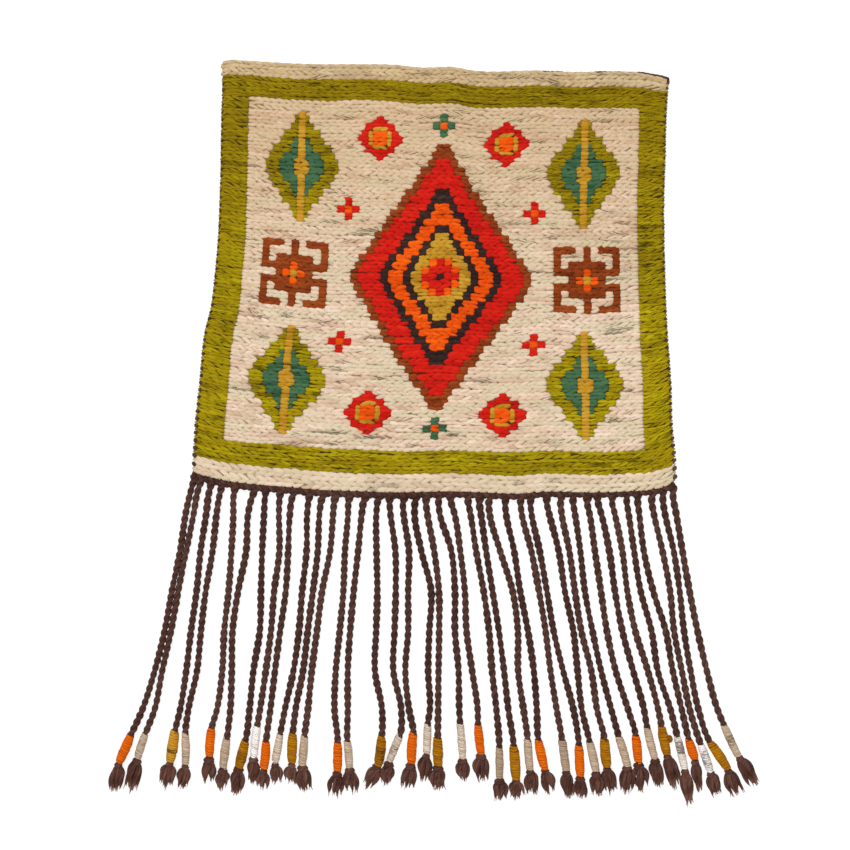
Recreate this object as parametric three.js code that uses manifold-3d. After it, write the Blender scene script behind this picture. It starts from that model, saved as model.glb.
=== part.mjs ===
// A kilim rug with a long corded fringe, lying flat on its back with its cords spread out below it.
// Millimetres, +Z up, +Y towards the edge without a fringe. Every piece rests on the plane z = 0.

import * as THREE from "three";
import { mergeVertices } from "three/addons/utils/BufferGeometryUtils.js";
import Module from "manifold-3d";

const wasm = await Module();
wasm.setup();

// ---- driving sizes ----

const GAP = 0.3; // left between two pieces that touch on the real rug
const CLOTH = { thickness: 8, edgeRounding: 2, longSteps: 18, sideSteps: 14, colour: 0xded0a8 };
const BAR = { halfWidth: 3, halfHeight: 3.4 };
const KNOT = { radius: 4.4, length: 13 }; // where a cord leaves the bar
const CORD = { radius: 3.6, radiusInWrap: 3.2, colour: 0x45281f };
const NECK = { radius: 4.3, from: 3 }; // the tassel's narrowest place, this far below the wrap
const FLARE = { halfHeight: 4.8, from: 0.62 }; // its widest, at this share of its length
const TIP = { halfHeight: 2.6, taper: 0.75 }; // its end, narrower than the flare by this factor
const YARNS = {
  orange: { wrapRadius: 5.7, colour: 0xf07c10 },
  cream: { wrapRadius: 5.3, colour: 0xd6c6b0 },
  mustard: { wrapRadius: 6.1, colour: 0xb4840f },
};

// Round strands are six-sided, with a flat side down. FLAT is how far that side is from the axis.
const SIDES = 6;
const FLAT = Math.cos(Math.PI / SIDES);

// Puts the middle of the whole rug's box, fringe included, over the origin of the part.
const TABLES_ORIGIN = { x: 2.02, y: 1.28 };

// ---- tables ----

// The cloth's four edges as x, y, running clockwise from the rounded corner at the upper left.
const EDGES = {
  top: [
    [-264, 462], [-240, 462.5], [-200, 460], [-150, 458], [-110, 458], [-50, 457], [-20, 454],
    [25, 454], [40, 451], [130, 450], [175, 448], [225, 449], [270, 446], [291, 441],
  ],
  right: [
    [291, 441], [290, 430], [288, 400], [286.5, 343], [284.7, 281], [285.5, 219], [288.8, 127],
    [293, 64], [295, 0], [297, -20], [299, -62],
  ],
  bottom: [
    [299, -62], [288, -68.5], [270, -73], [240, -75.5], [200, -77], [140, -76], [100, -78.5],
    [60, -77], [20, -75.5], [-40, -77], [-100, -75.5], [-140, -74], [-200, -69], [-240, -65.5],
    [-280, -59], [-305, -51.5],
  ],
  left: [
    [-305, -51.5], [-303.5, -30], [-302, 0], [-296, 64], [-289.5, 126], [-283, 152], [-277, 200],
    [-273.5, 240], [-271, 300], [-269, 400], [-268, 430], [-269, 456],
  ],
};

// One row for each cord, from left to right. yarn is its wrap's, head is x at the bar, x100 to x350 are
// x where it crosses y = -100 to -350, and the rest is where its wrap starts, where the wrap ends, where
// the tassel ends, and how wide the tassel is.
const CROSSINGS = [-100, -150, -200, -250, -300, -350];
const CORD_COLUMNS = [
  "yarn", "head", "x100", "x150", "x200", "x250", "x300", "x350",
  "wrapX", "wrapY", "endX", "endY", "tipX", "tipY", "tasselWidth",
];
const CORDS = [
  ["orange", -303, -313, -320.5, -331, -340, -352.5, -368.5, -382, -380, -397, -414, -403, -448, 16.5],
  ["cream", -296, -303, -313, -323, -332, -343, -353, -364, -379, -374, -409, -382, -449, 17],
  ["mustard", -283, -287.5, -295, -300, -307, -313, -321, -327, -375.5, -333, -412.5, -338, -444, 18],
  ["cream", -269, -274.5, -280, -288.5, -294.5, -299.5, -310.5, -314, -378, -314, -416, -317, -446, 16.5],
  ["orange", -254, -254, -256.5, -260, -265.5, -268, -275, -281, -372, -284, -407, -287, -438, 17],
  ["cream", -228, -235, -238, -248, -255, -256, -258, -262, -384, -267, -421, -269, -446, 16.5],
  ["mustard", -214, -215.5, -218, -219.5, -221, -229, -234, -239, -388, -247, -419.5, -252, -453, 16.5],
  ["cream", -196, -197, -196.5, -203, -207, -213.5, -221, -224, -368.5, -228.5, -407, -231, -438, 15],
  ["orange", -180, -183, -185.5, -188.5, -195.5, -202, -208, -213, -388, -216, -422, -218, -445, 14],
  ["cream", -159, -161.5, -162.5, -168, -172, -179, -190, -195.5, -379, -202, -414, -200, -439, 14],
  ["mustard", -143, -146, -148.5, -154.5, -161, -167, -176.5, -179.5, -378.5, -181, -414, -182, -439, 15.5],
  ["cream", -127, -129, -133, -143, -149.5, -156, -161, -165, -382, -168, -417.5, -164, -448, 18],
  ["orange", -110, -110.5, -114.5, -116.5, -121, -126, -127.5, -123.5, -389, -124, -425, -126.5, -455, 18],
  ["cream", -90, -93, -98, -103.5, -108, -111, -111, -111.5, -388, -109, -421, -105.5, -449, 17.5],
  ["mustard", -73, -75, -75, -74, -75.5, -77, -68, -68.5, -382, -73, -417, -87, -443.5, 16.5],
  ["cream", -59.5, -58, -51.5, -51, -52.5, -54, -44, -46, -381, -59, -413, -64, -441.5, 15.5],
  ["orange", -42.5, -41.5, -34.5, -35.5, -35.5, -39, -34, -29, -378, -31.5, -415, -37.5, -444, 16.5],
  ["cream", -26.5, -27.5, -19, -6.7, -9, -10.5, -8.5, -11, -367, -12.5, -403, -16.5, -436, 16],
  ["mustard", -14.5, -12, -3, 3, 3.3, 2.5, 2, 1.6, -384, 1.8, -418, 2, -447, 18],
  ["cream", 1.5, 3.5, 18.5, 23, 23, 27.5, 28.5, 29.5, -366, 32.5, -409, 33, -435, 16],
  ["orange", 15, 21.5, 29.7, 35.4, 37.5, 44.5, 51.5, 52, -367.5, 55.5, -403, 55, -437, 16.5],
  ["cream", 37.5, 41.7, 49.5, 58.8, 65.6, 69.4, 75, 78.5, -395.5, 78.5, -434, 80.5, -460, 18],
  ["mustard", 52, 55, 62, 70, 78, 84.4, 90, 96.5, -393.5, 99, -434, 101, -458.5, 16.5],
  ["cream", 64.6, 66, 79.5, 95, 101.7, 102, 109, 114, -386, 116.5, -422.5, 121, -452, 17],
  ["orange", 85, 86.5, 97, 104.6, 114.3, 121.6, 125.5, 127.5, -387, 134.5, -421, 142.5, -452, 18],
  ["cream", 104, 106, 118.5, 128, 136.3, 142.5, 150.5, 157, -386, 162, -423.5, 163.5, -456.5, 15],
  ["orange", 116.3, 118.3, 129, 138, 146.4, 158.3, 171.5, 178, -393.5, 179.5, -431, 180, -457.5, 15.5],
  ["cream", 135.5, 140, 152.7, 160.4, 171, 176.3, 182, 191.5, -388.7, 199, -425, 202, -454, 17],
  ["mustard", 154, 156, 166, 173, 181, 193.5, 201, 210, -386, 212.5, -418.7, 218, -449.5, 15.5],
  ["cream", 169, 172.5, 179.8, 185.4, 195, 205.8, 219, 228, -382.5, 238.5, -418, 237.5, -451, 16],
  ["orange", 186, 190.6, 198, 205.5, 213, 224, 240, 249, -381, 252, -414, 257, -448, 17],
  ["cream", 199, 205, 216, 223, 232.3, 245.8, 259.7, 263.5, -371.5, 272.7, -409, 278, -443, 17],
  ["mustard", 217, 222, 232.3, 238.5, 248.5, 264.2, 277.5, 281.5, -370, 287.7, -403.5, 298, -443, 18],
  ["cream", 236, 239.6, 247, 255.2, 268.8, 276.7, 293, 301, -382, 310, -422, 317, -464, 13],
  ["orange", 250, 253, 259.2, 270.8, 286.5, 295.4, 307, 315.5, -386, 322.5, -410, 328.5, -448, 12],
  ["cream", 267, 271, 282.5, 292, 297, 306.7, 317, 330.3, -392, 341.8, -425, 351.5, -454, 17],
  ["mustard", 281, 285, 296.5, 304, 309.4, 317.7, 328, 342, -389, 363, -421, 376, -454, 18],
  ["cream", 293, 299, 307.5, 316.3, 326.3, 338, 352, 359.5, -368, 377, -406, 399, -441.5, 19],
];

// ---- helpers ----

const smoothLine = (points, steps) =>
  new THREE.CatmullRomCurve3(points.map(([x, y]) => new THREE.Vector3(x, y, 0))).getSpacedPoints(steps);

// A point some way past `from` on the straight line to `to`.
const along = (from, to, distance) =>
  from.clone().addScaledVector(to.clone().sub(from).normalize(), distance);

// Which way a line of points runs at its point n.
const wayAt = (points, n) =>
  points[Math.min(n + 1, points.length - 1)].clone().sub(points[Math.max(n - 1, 0)]).normalize();

// A solid strand lying on the plane z = 0. Each station has a place `at`, a half width, a half height
// and, where it is lifted off the plane, the height of its axis. `towards` sets its direction by hand.
function strand(stations) {
  const steps = stations.length - 1;
  const route = stations.map(({ at }) => at);
  const geometry = new THREE.CylinderGeometry(1, 1, 1, SIDES, steps, false, Math.PI / SIDES);
  const place = geometry.getAttribute("position");
  for (let i = 0; i < place.count; i++) {
    const n = Math.round((0.5 - place.getY(i)) * steps);
    const { at, halfWidth, halfHeight, axisHeight = halfHeight, towards } = stations[n];
    const way = towards ?? wayAt(route, n);
    const side = place.getX(i) * halfWidth;
    const up = (place.getZ(i) * halfHeight) / FLAT;
    place.setXYZ(i, at.x - way.y * side, at.y + way.x * side, axisHeight + up);
  }
  return geometry;
}

const round = (at, radius, more = {}) => ({ at, halfWidth: radius, halfHeight: radius * FLAT, ...more });

function toSolid(geometry) {
  const bare = geometry.clone().deleteAttribute("normal").deleteAttribute("uv");
  const merged = mergeVertices(bare, 1e-4);
  return new wasm.Manifold(
    new wasm.Mesh({
      numProp: 3,
      vertProperties: merged.getAttribute("position").array,
      triVerts: new Uint32Array(merged.index.array),
    }),
  );
}

function toGeometry(solid) {
  const { vertProperties, triVerts } = solid.getMesh();
  return new THREE.BufferGeometry()
    .setAttribute("position", new THREE.BufferAttribute(vertProperties, 3))
    .setIndex(new THREE.BufferAttribute(triVerts, 1));
}

function pieceOf(name, geometry, colour) {
  const yarn = new THREE.MeshStandardMaterial({ color: colour, roughness: 0.95, metalness: 0 });
  const mesh = new THREE.Mesh(geometry, yarn);
  mesh.name = name;
  return mesh;
}

// ---- the woven cloth ----

function clothGeometry() {
  const { thickness, edgeRounding, longSteps, sideSteps } = CLOTH;
  const outline = [
    ...smoothLine(EDGES.top, longSteps),
    ...smoothLine(EDGES.right, sideSteps).slice(1),
    ...smoothLine(EDGES.bottom, longSteps).slice(1),
    ...smoothLine(EDGES.left, sideSteps).slice(1),
  ];
  const geometry = new THREE.ExtrudeGeometry(new THREE.Shape(outline), {
    depth: thickness - 2 * edgeRounding,
    bevelThickness: edgeRounding,
    bevelSize: edgeRounding,
    bevelOffset: -edgeRounding,
    bevelSegments: 1,
  });
  return geometry.translate(0, 0, edgeRounding);
}

// ---- the fringe: a bar twined along the lower edge, and its cords, joined into one comb ----

// The bar's axis, from left to right, a gap below the cloth.
function barLine() {
  const edge = smoothLine([...EDGES.bottom].reverse(), CLOTH.longSteps);
  const drop = GAP + BAR.halfWidth;
  return edge.map((at, n) => {
    const way = wayAt(edge, n);
    return new THREE.Vector3(at.x + way.y * drop, at.y - way.x * drop, 0);
  });
}

function pointOnBar(line, x) {
  const n = THREE.MathUtils.clamp(line.findIndex((at) => at.x > x), 1, line.length - 1);
  const share = (x - line[n - 1].x) / (line[n].x - line[n - 1].x);
  return line[n - 1].clone().lerp(line[n], share);
}

// A row of CORDS as named places.
function readCord(row, line) {
  const cell = Object.fromEntries(CORD_COLUMNS.map((name, i) => [name, row[i]]));
  return {
    ...YARNS[cell.yarn],
    head: pointOnBar(line, cell.head),
    crossings: CROSSINGS.map((y) => new THREE.Vector3(cell[`x${-y}`], y, 0)),
    wrapStart: new THREE.Vector3(cell.wrapX, cell.wrapY, 0),
    wrapEnd: new THREE.Vector3(cell.endX, cell.endY, 0),
    tip: new THREE.Vector3(cell.tipX, cell.tipY, 0),
    tasselWidth: cell.tasselWidth,
  };
}

function cordGeometry({ head, crossings, wrapStart, wrapEnd, tip, wrapRadius, tasselWidth }) {
  const towards = wrapEnd.clone().sub(wrapStart).normalize();
  const inWrap = { axisHeight: wrapRadius * FLAT, towards };
  return strand([
    round(head, KNOT.radius),
    round(along(head, crossings[0], KNOT.length), CORD.radius),
    ...crossings.map((at) => round(at, CORD.radius)),
    round(along(wrapStart, wrapEnd, -1), CORD.radiusInWrap, inWrap),
    round(along(wrapEnd, wrapStart, -1), CORD.radiusInWrap, inWrap),
    round(along(wrapEnd, tip, NECK.from), NECK.radius),
    { at: wrapEnd.clone().lerp(tip, FLARE.from), halfWidth: tasselWidth / 2, halfHeight: FLARE.halfHeight },
    { at: tip, halfWidth: (tasselWidth / 2) * TIP.taper, halfHeight: TIP.halfHeight },
  ]);
}

function fringeGeometry(cords, line) {
  const bar = strand(line.map((at) => ({ at, ...BAR })));
  let comb = toSolid(bar);
  for (const cord of cords) comb = comb.add(toSolid(cordGeometry(cord)));
  return toGeometry(comb);
}

// ---- a wrap: coloured yarn wound round one cord, as a sleeve a gap away from it ----

function wrapPiece(name, { wrapStart, wrapEnd, wrapRadius, colour }) {
  const bore = CORD.radiusInWrap + GAP / FLAT;
  const half = wrapStart.distanceTo(wrapEnd) / 2;
  const profile = [
    new THREE.Vector2(bore, -half),
    new THREE.Vector2(wrapRadius, -half),
    new THREE.Vector2(wrapRadius, half),
    new THREE.Vector2(bore, half),
    new THREE.Vector2(bore, -half),
  ];
  const mesh = pieceOf(name, new THREE.LatheGeometry(profile, SIDES, Math.PI / SIDES), colour);
  const middle = wrapStart.clone().lerp(wrapEnd, 0.5);
  mesh.position.set(middle.x, middle.y, wrapRadius * FLAT);
  mesh.rotation.z = Math.atan2(wrapStart.y - wrapEnd.y, wrapStart.x - wrapEnd.x) - Math.PI / 2;
  return mesh;
}

// ---- assembly ----

const barAxis = barLine();
const cords = CORDS.map((row) => readCord(row, barAxis));

const rug = new THREE.Group();
rug.position.set(TABLES_ORIGIN.x, TABLES_ORIGIN.y, 0);
rug.add(pieceOf("woven_panel", clothGeometry(), CLOTH.colour));
rug.add(pieceOf("fringe", fringeGeometry(cords, barAxis), CORD.colour));
cords.forEach((cord, i) => {
  rug.add(wrapPiece(`wrap_${String(i + 1).padStart(2, "0")}`, cord));
});

export default rug;
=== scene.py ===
import math

import bmesh
import bpy
import numpy as np
from mathutils import Matrix, Vector


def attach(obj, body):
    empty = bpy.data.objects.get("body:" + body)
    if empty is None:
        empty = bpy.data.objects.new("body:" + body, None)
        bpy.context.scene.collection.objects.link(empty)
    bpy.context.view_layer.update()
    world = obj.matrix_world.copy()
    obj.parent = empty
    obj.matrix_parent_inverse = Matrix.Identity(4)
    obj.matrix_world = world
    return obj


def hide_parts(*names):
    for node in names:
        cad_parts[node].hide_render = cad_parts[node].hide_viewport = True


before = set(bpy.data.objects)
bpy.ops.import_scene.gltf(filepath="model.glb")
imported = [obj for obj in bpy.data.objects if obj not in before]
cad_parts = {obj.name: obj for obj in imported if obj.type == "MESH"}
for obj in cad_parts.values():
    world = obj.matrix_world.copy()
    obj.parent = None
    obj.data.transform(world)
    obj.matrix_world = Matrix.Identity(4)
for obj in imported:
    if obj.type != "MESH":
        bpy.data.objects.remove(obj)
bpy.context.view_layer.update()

# A thick wool kilim with a knotted cord fringe, lying flat with its cords spread out.
# Lengths are in millimetres up to the point where a mesh is made, and then in metres.

MM = 0.001
PART_ORIGIN = np.array([2.02, 1.28])  # from the tables' zero to the part's
random = np.random.default_rng(1972)

# ---- camera ----

VIEW_WIDTH = 1062.5  # what the view takes in, at the height of the yarns
VIEW_CENTRE = (-12.35, 8.78)
YARN_LEVEL = 5
LENS = 85
SENSOR = 36

# ---- the cloth's outline and the cords' routes, as in the part's source ----

# The four edges as x, y, clockwise from the rounded corner at the upper left.
EDGES = {
    "top": [
        (-264, 462), (-240, 462.5), (-200, 460), (-150, 458), (-110, 458), (-50, 457), (-20, 454),
        (25, 454), (40, 451), (130, 450), (175, 448), (225, 449), (270, 446), (291, 441),
    ],
    "right": [
        (291, 441), (290, 430), (288, 400), (286.5, 343), (284.7, 281), (285.5, 219), (288.8, 127),
        (293, 64), (295, 0), (297, -20), (299, -62),
    ],
    "bottom": [
        (299, -62), (288, -68.5), (270, -73), (240, -75.5), (200, -77), (140, -76), (100, -78.5),
        (60, -77), (20, -75.5), (-40, -77), (-100, -75.5), (-140, -74), (-200, -69), (-240, -65.5),
        (-280, -59), (-305, -51.5),
    ],
    "left": [
        (-305, -51.5), (-303.5, -30), (-302, 0), (-296, 64), (-289.5, 126), (-283, 152), (-277, 200),
        (-273.5, 240), (-271, 300), (-269, 400), (-268, 430), (-269, 456),
    ],
}
CORNER = (-268.3, 459.8)  # on the rounding between the left and the top edge

CROSSINGS = (-100, -150, -200, -250, -300, -350)
# One row a cord, from left to right: its wrap's yarn, x at the bar, x at each of the CROSSINGS, where
# the wrap starts, where it ends, where the tassel ends, and how wide the tassel is.
CORDS = [
    ("orange", -303, -313, -320.5, -331, -340, -352.5, -368.5, -382, -380, -397, -414, -403, -448, 16.5),
    ("cream", -296, -303, -313, -323, -332, -343, -353, -364, -379, -374, -409, -382, -449, 17),
    ("mustard", -283, -287.5, -295, -300, -307, -313, -321, -327, -375.5, -333, -412.5, -338, -444, 18),
    ("cream", -269, -274.5, -280, -288.5, -294.5, -299.5, -310.5, -314, -378, -314, -416, -317, -446, 16.5),
    ("orange", -254, -254, -256.5, -260, -265.5, -268, -275, -281, -372, -284, -407, -287, -438, 17),
    ("cream", -228, -235, -238, -248, -255, -256, -258, -262, -384, -267, -421, -269, -446, 16.5),
    ("mustard", -214, -215.5, -218, -219.5, -221, -229, -234, -239, -388, -247, -419.5, -252, -453, 16.5),
    ("cream", -196, -197, -196.5, -203, -207, -213.5, -221, -224, -368.5, -228.5, -407, -231, -438, 15),
    ("orange", -180, -183, -185.5, -188.5, -195.5, -202, -208, -213, -388, -216, -422, -218, -445, 14),
    ("cream", -159, -161.5, -162.5, -168, -172, -179, -190, -195.5, -379, -202, -414, -200, -439, 14),
    ("mustard", -143, -146, -148.5, -154.5, -161, -167, -176.5, -179.5, -378.5, -181, -414, -182, -439, 15.5),
    ("cream", -127, -129, -133, -143, -149.5, -156, -161, -165, -382, -168, -417.5, -164, -448, 18),
    ("orange", -110, -110.5, -114.5, -116.5, -121, -126, -127.5, -123.5, -389, -124, -425, -126.5, -455, 18),
    ("cream", -90, -93, -98, -103.5, -108, -111, -111, -111.5, -388, -109, -421, -105.5, -449, 17.5),
    ("mustard", -73, -75, -75, -74, -75.5, -77, -68, -68.5, -382, -73, -417, -87, -443.5, 16.5),
    ("cream", -59.5, -58, -51.5, -51, -52.5, -54, -44, -46, -381, -59, -413, -64, -441.5, 15.5),
    ("orange", -42.5, -41.5, -34.5, -35.5, -35.5, -39, -34, -29, -378, -31.5, -415, -37.5, -444, 16.5),
    ("cream", -26.5, -27.5, -19, -6.7, -9, -10.5, -8.5, -11, -367, -12.5, -403, -16.5, -436, 16),
    ("mustard", -14.5, -12, -3, 3, 3.3, 2.5, 2, 1.6, -384, 1.8, -418, 2, -447, 18),
    ("cream", 1.5, 3.5, 18.5, 23, 23, 27.5, 28.5, 29.5, -366, 32.5, -409, 33, -435, 16),
    ("orange", 15, 21.5, 29.7, 35.4, 37.5, 44.5, 51.5, 52, -367.5, 55.5, -403, 55, -437, 16.5),
    ("cream", 37.5, 41.7, 49.5, 58.8, 65.6, 69.4, 75, 78.5, -395.5, 78.5, -434, 80.5, -460, 18),
    ("mustard", 52, 55, 62, 70, 78, 84.4, 90, 96.5, -393.5, 99, -434, 101, -458.5, 16.5),
    ("cream", 64.6, 66, 79.5, 95, 101.7, 102, 109, 114, -386, 116.5, -422.5, 121, -452, 17),
    ("orange", 85, 86.5, 97, 104.6, 114.3, 121.6, 125.5, 127.5, -387, 134.5, -421, 142.5, -452, 18),
    ("cream", 104, 106, 118.5, 128, 136.3, 142.5, 150.5, 157, -386, 162, -423.5, 163.5, -456.5, 15),
    ("orange", 116.3, 118.3, 129, 138, 146.4, 158.3, 171.5, 178, -393.5, 179.5, -431, 180, -457.5, 15.5),
    ("cream", 135.5, 140, 152.7, 160.4, 171, 176.3, 182, 191.5, -388.7, 199, -425, 202, -454, 17),
    ("mustard", 154, 156, 166, 173, 181, 193.5, 201, 210, -386, 212.5, -418.7, 218, -449.5, 15.5),
    ("cream", 169, 172.5, 179.8, 185.4, 195, 205.8, 219, 228, -382.5, 238.5, -418, 237.5, -451, 16),
    ("orange", 186, 190.6, 198, 205.5, 213, 224, 240, 249, -381, 252, -414, 257, -448, 17),
    ("cream", 199, 205, 216, 223, 232.3, 245.8, 259.7, 263.5, -371.5, 272.7, -409, 278, -443, 17),
    ("mustard", 217, 222, 232.3, 238.5, 248.5, 264.2, 277.5, 281.5, -370, 287.7, -403.5, 298, -443, 18),
    ("cream", 236, 239.6, 247, 255.2, 268.8, 276.7, 293, 301, -382, 310, -422, 317, -464, 13),
    ("orange", 250, 253, 259.2, 270.8, 286.5, 295.4, 307, 315.5, -386, 322.5, -410, 328.5, -448, 12),
    ("cream", 267, 271, 282.5, 292, 297, 306.7, 317, 330.3, -392, 341.8, -425, 351.5, -454, 17),
    ("mustard", 281, 285, 296.5, 304, 309.4, 317.7, 328, 342, -389, 363, -421, 376, -454, 18),
    ("cream", 293, 299, 307.5, 316.3, 326.3, 338, 352, 359.5, -368, 377, -406, 399, -441.5, 19),
]

# ---- sizes of the weave and the yarns ----

WARPS = 120
SIDE_WARPS = 7  # lime border at each side
WARP_PITCH = 4.8
HEADER, BAND, FIELD, FOOT = 4, 6, 94, 4  # rows of each strip, the lime BAND twice
ROW_HEIGHTS = np.array([4.65] * HEADER + [4.5] * BAND + [4.62] * FIELD + [4.9] * BAND + [5.65] * FOOT)
ROWS = len(ROW_HEIGHTS)
ROW_ENDS = np.concatenate([[0], np.cumsum(ROW_HEIGHTS)])
CLOTH_HEIGHT = sum(ROW_HEIGHTS)
USUAL_ROW = 4.65  # the height of the rows for which a stitch's width is given
# crown and belly are the levels of a stitch's upper and under side, slant is a share of the row's own,
# lean a share of SIDE_LEAN, and overlap is how many warps a stitch runs under the next. A yarn's outer
# strands sink below its middle one, pinch towards it at their ends, and stagger along it.
STITCH = {"width": 6.2, "crown": 7.8, "belly": 3.4, "slant": 0.9, "overlap": 0.65}
HEADER_STITCH = {"width": 6.1, "crown": 7.7, "belly": 3.5, "slant": 0.85, "overlap": 0.65}
FOOT_STITCH = {"width": 6.1, "crown": 7.9, "belly": 3.2, "slant": 1.0, "overlap": 0.8}
STRAND = {
    "width": 2.6, "crown": 8.0, "belly": 4.3, "slant": 0.6, "overlap": 0.75, "pinch": 0.6, "sink": 0.9,
    "stagger": 1.0, "lean": 1.8,
}
THREAD = {"width": 3.1, "crown": 7.6, "belly": 4.0, "slant": 0.9, "overlap": 0.65, "stagger": 0.8}
BACK = {"width": 6.0, "crown": 5.5, "belly": 0.0, "slant": 1.0, "overlap": 0.5}
STRANDS_APART = 1.35  # lime yarn is three strands
THREADS_APART = 2.7  # greyer cream is two
SMOOTH_LIME = 0.04  # share of the lime stitches whose strands don't part
WARPS_A_STITCH, WARPS_A_FOOT_STITCH = 2.0, 2.3
SHORTEST = 0.9  # warps that the first and the last stitch of a run cover at least
DOVETAIL = 0.3  # warps that a stitch runs into the next yarn, where the two don't meet at a slit
SLIT_REACH = 0.3  # warps that a turn bulges into a slit
SLIT_TURN, EDGE_TURN = 0.9, 2.2  # how far a stitch's end leans to the row where its weft turns back
WARP_SHEET = {"top": 5.2, "bottom": 2.6, "inset": 1.7}
BORDER_EASE = 0.6  # warps that the side borders are wider than their share
SIDE_LEAN = 8  # degrees that the stitches next to a side edge lean up towards it, on top of their slant
HOLES = 0.03  # share of the cream's crossings where a brown warp shows
# How much stitches differ from one to the next, and along their row.
VARIES = {"slant": 5, "length": 0.04, "width": 0.08, "sideways": 0.35, "level": 0.2, "shade": 0.13}
ROW_VARIES = {"width": 0.09, "wave": 0.4, "shade": 0.17}
# The power at which a stitch narrows to its end, where its weft turns at the cloth's side or at a slit,
# or dives under the next stitch, and the root that rounds it.
SIDE_END, SLIT_END, DIVING_END = 2.4, 5, 2.3
TURNED_ROOT, DIVING_ROOT = 0.5, 0.62

PLY = {"radius": 3.05, "offset": 1.5, "turn": 18.8}  # two plies make a cord, one turn in this length
BAR_PLY = {"radius": 3.35, "offset": 1.15, "turn": 15.0, "squash": 1.05}
TWO, THREE = (0, math.pi), (0, 2.1, 4.2)  # where round the middle two plies or three strands start
FIBRE_TURN = 14  # a ply's own fibres go round it once in this length
BAR_DROP = 3.1  # the bar's axis below the cloth's edge
# How thick the bar is, at shares of its length.
BAR_FULLNESS = ((0, 1.15), (0.55, 1.12), (0.8, 0.92), (1, 0.95))
BAR_LEVEL, CORD_LEVEL = 4.0, 4.4
FLOOR_GAP = 0.05  # nothing lies lower than this
# A cord comes out of the bar to the right of its place, above it and fatter, and does so over this length.
CORD_HEAD = {"lean": 2.4, "rise": 2.4, "fatter": 0.36, "length": 15}
# It runs a share of its wrap's length into the wrap, climbs to the wrap's middle, and thins at its very end.
CORD_END = {"inside": 0.15, "climb": 25, "thinner": 0.3, "thin": 8}
WRAP_RADIUS = {"orange": 6.2, "cream": 5.35, "mustard": 6.4}
WRAP_BARREL = {"orange": 0.32, "cream": 0.22, "mustard": 0.32}  # how much thinner a wrap's ends are
WRAP_SQUASH = 0.92
WINDING_PITCH = {"orange": 2.9, "cream": 2.3, "mustard": 2.8}
WINDING_THICK = 0.42  # half a winding's height
WINDING_WIDE = 0.72  # half its width, as a share of the pitch
SLEEVE_DEPTH = 0.8  # how far the sleeve lies inside a wrap
SLEEVE_SHAPE = np.array([0.66, 0.86, 0.96, 1, 1, 0.96, 0.86, 0.66])
# Wraps, counted from the left, whose yarn is darker or lighter than most of its colour, from 0 to 1.
WRAP_TINTS = {
    2: 0.5, 3: 0.66, 6: 0.43, 7: 0.4, 8: 1.1, 10: 0.55, 14: 0.5, 15: 0.36, 16: 0.56, 18: 0.58, 20: 0.56,
    22: 0.34, 26: 0.35, 34: 0.7, 36: 0.95, 38: 0.47,
}
# Wraps that hold a stretch of dark fibre: where along the wrap it starts and ends, and how dark it is.
DARK_STRETCHES = {
    2: (-0.2, 1.2, 0.4), 3: (0.53, 0.7, 1), 7: (0.4, 0.8, 0.6), 8: (0.5, 0.75, 0.6), 15: (0.3, 0.9, 0.6),
    16: (0.3, 0.8, 0.7), 34: (0, 0.6, 1), 36: (0.1, 1, 0.85), 38: (0.2, 0.7, 0.8),
}
NO_STRETCH = (2, 3, 0)
LOOPED_WRAP = 33  # its yarn's end sticks out as a small loop
TASSEL_ROOM = 2.0  # what the strands' own width takes from each side of a tassel

# ---- the pattern, one letter a crossing of row and warp ----

# Each quarter is the upper left of a motif, mirrored to the right and down, and a dot leaves the
# ground. One letter is a block of two warps by two rows, and in the star one warp by one row.
HORNS = """
bbb.b
b...b
b.bbb
bbbbo
..boy
"""
STAR = """
.....r
....rr
..rrrr
..rryy
.rryoo
rrryoo
"""
SEED = """
.t
to
"""
BLOOM = """
.or
orr
rrk
"""
BLOCK = 2


def whole(quarter, block=BLOCK):
    """The full motif of a quarter, at one letter a crossing. Blocks share the middle row and column."""
    quarter = np.array([list(line) for line in quarter.split()])
    shared = -2 if block > 1 else -1
    upper = np.hstack([quarter, quarter[:, shared::-1]])
    motif = np.vstack([upper, upper[shared::-1]])
    return motif.repeat(block, axis=0).repeat(block, axis=1)


def lay(chart, motif, row, warp, swap=()):
    """Charts a motif with its middle at row, warp, after swapping some of its yarns."""
    motif = motif.copy()
    for old, new in swap:
        motif[motif == old] = new
    high, wide = (size // 2 for size in motif.shape)
    part = chart[row - high : row + high, warp - wide : warp + wide]
    part[motif != "."] = motif[motif != "."]


def lozenge(chart, row, warp, half, yarn):
    """A lozenge with stepped sides, which narrows every two rows and is three rows high for two warps."""
    steps = half * 3 // 4
    for step in range(steps):
        width = math.ceil(half * (1 - step / steps))
        for top in (row - 2 * (step + 1), row + 2 * step):
            chart[top : top + 2, warp - width : warp + width] = yarn


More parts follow.
